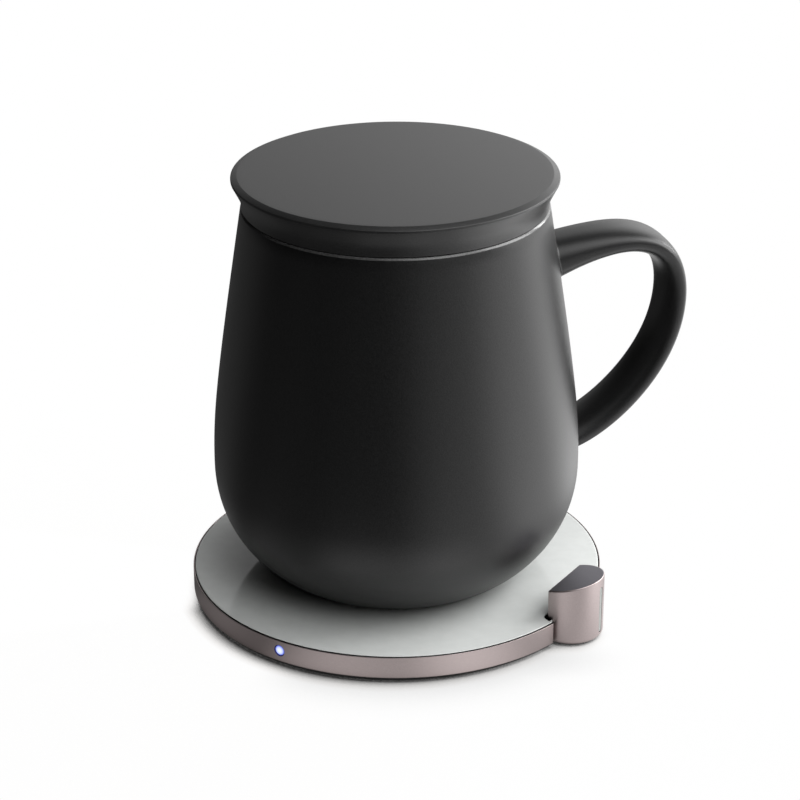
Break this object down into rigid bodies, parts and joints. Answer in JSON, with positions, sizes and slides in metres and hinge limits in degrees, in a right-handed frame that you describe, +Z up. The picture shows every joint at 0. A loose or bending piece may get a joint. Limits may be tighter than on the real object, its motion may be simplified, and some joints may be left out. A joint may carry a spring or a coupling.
{
  "type": "self heating mug",
  "caption": "Matte black ceramic mug with a strap handle and flared lid, standing on a thin round wireless heating pad with a metal ring and a small D-shaped post.",
  "frame": {"origin": "On the floor under the middle of the pad; the pad, the mug and the lid share one upright axis.", "axes": "+Z up. +X towards the side the handle points to, 15.5 degrees short of it. -Y is the front, where the small light is; the power inlet is at +Y."},
  "size_m": [0.1309, 0.109, 0.1169],
  "materials": {
    "plate_glaze": "gloss",
    "black_seal": "matte",
    "pad_metal": "bead blasted and anodised",
    "black_moulding": "matte",
    "foot_rubber": "matte",
    "copper_wire": "enamelled copper",
    "ferrite": "matte",
    "circuit_board": "solder mask",
    "chip_black": "matte",
    "capacitor_tan": "matte",
    "led_body": "matte",
    "light_lens": "lit, bluish white",
    "bright_steel": "plated",
    "pale_strip": "satin",
    "black_ceramic": "fine matte glaze",
    "film_amber": "satin",
    "felt": "matte"
  },
  "bodies": {
    "pad": {"top_plate": "plate_glaze", "plate_gasket": "black_seal", "housing_ring": "pad_metal", "base_cover": "black_moulding", "foot_pad": "foot_rubber", "coil_tray": "black_moulding", "transmitter_coil": "copper_wire", "pad_ferrite": "ferrite", "control_board": "circuit_board", "driver_chip": "chip_black", "control_chip": "chip_black", "resonance_capacitor_1": "capacitor_tan", "resonance_capacitor_2": "capacitor_tan", "resonance_capacitor_3": "capacitor_tan", "filter_inductor": "ferrite", "plate_thermistor": "chip_black", "indicator_led": "led_body", "indicator_lens": "light_lens", "inlet_shell": "bright_steel", "inlet_tongue": "black_moulding", "post_shell": "pad_metal", "post_strip": "pale_strip", "post_core": "black_moulding", "mug_sensor": "chip_black", "post_screw": "bright_steel", "base_screw_1": "bright_steel", "base_screw_2": "bright_steel", "base_screw_3": "bright_steel", "base_screw_4": "bright_steel"},
    "mug": {"mug_body": "black_ceramic", "heating_film": "film_amber", "thermal_cutout": "bright_steel", "insulation_pad": "felt", "receiver_board": "circuit_board", "rectifier_chip": "chip_black", "receiver_ferrite": "ferrite", "receiver_coil": "copper_wire", "mug_base_cap": "black_moulding", "mug_foot_ring": "foot_rubber"},
    "lid": {"lid": "black_ceramic", "lid_seal": "foot_rubber"}
  },
  "joints": [
    {"name": "mug_lift", "type": "slide", "parent": "pad", "child": "mug", "axis": [0, 0, 1], "range_m": [0, 0.08]},
    {"name": "lid_lift", "type": "slide", "parent": "mug", "child": "lid", "axis": [0, 0, 1], "range_m": [0, 0.06]}
  ]
}
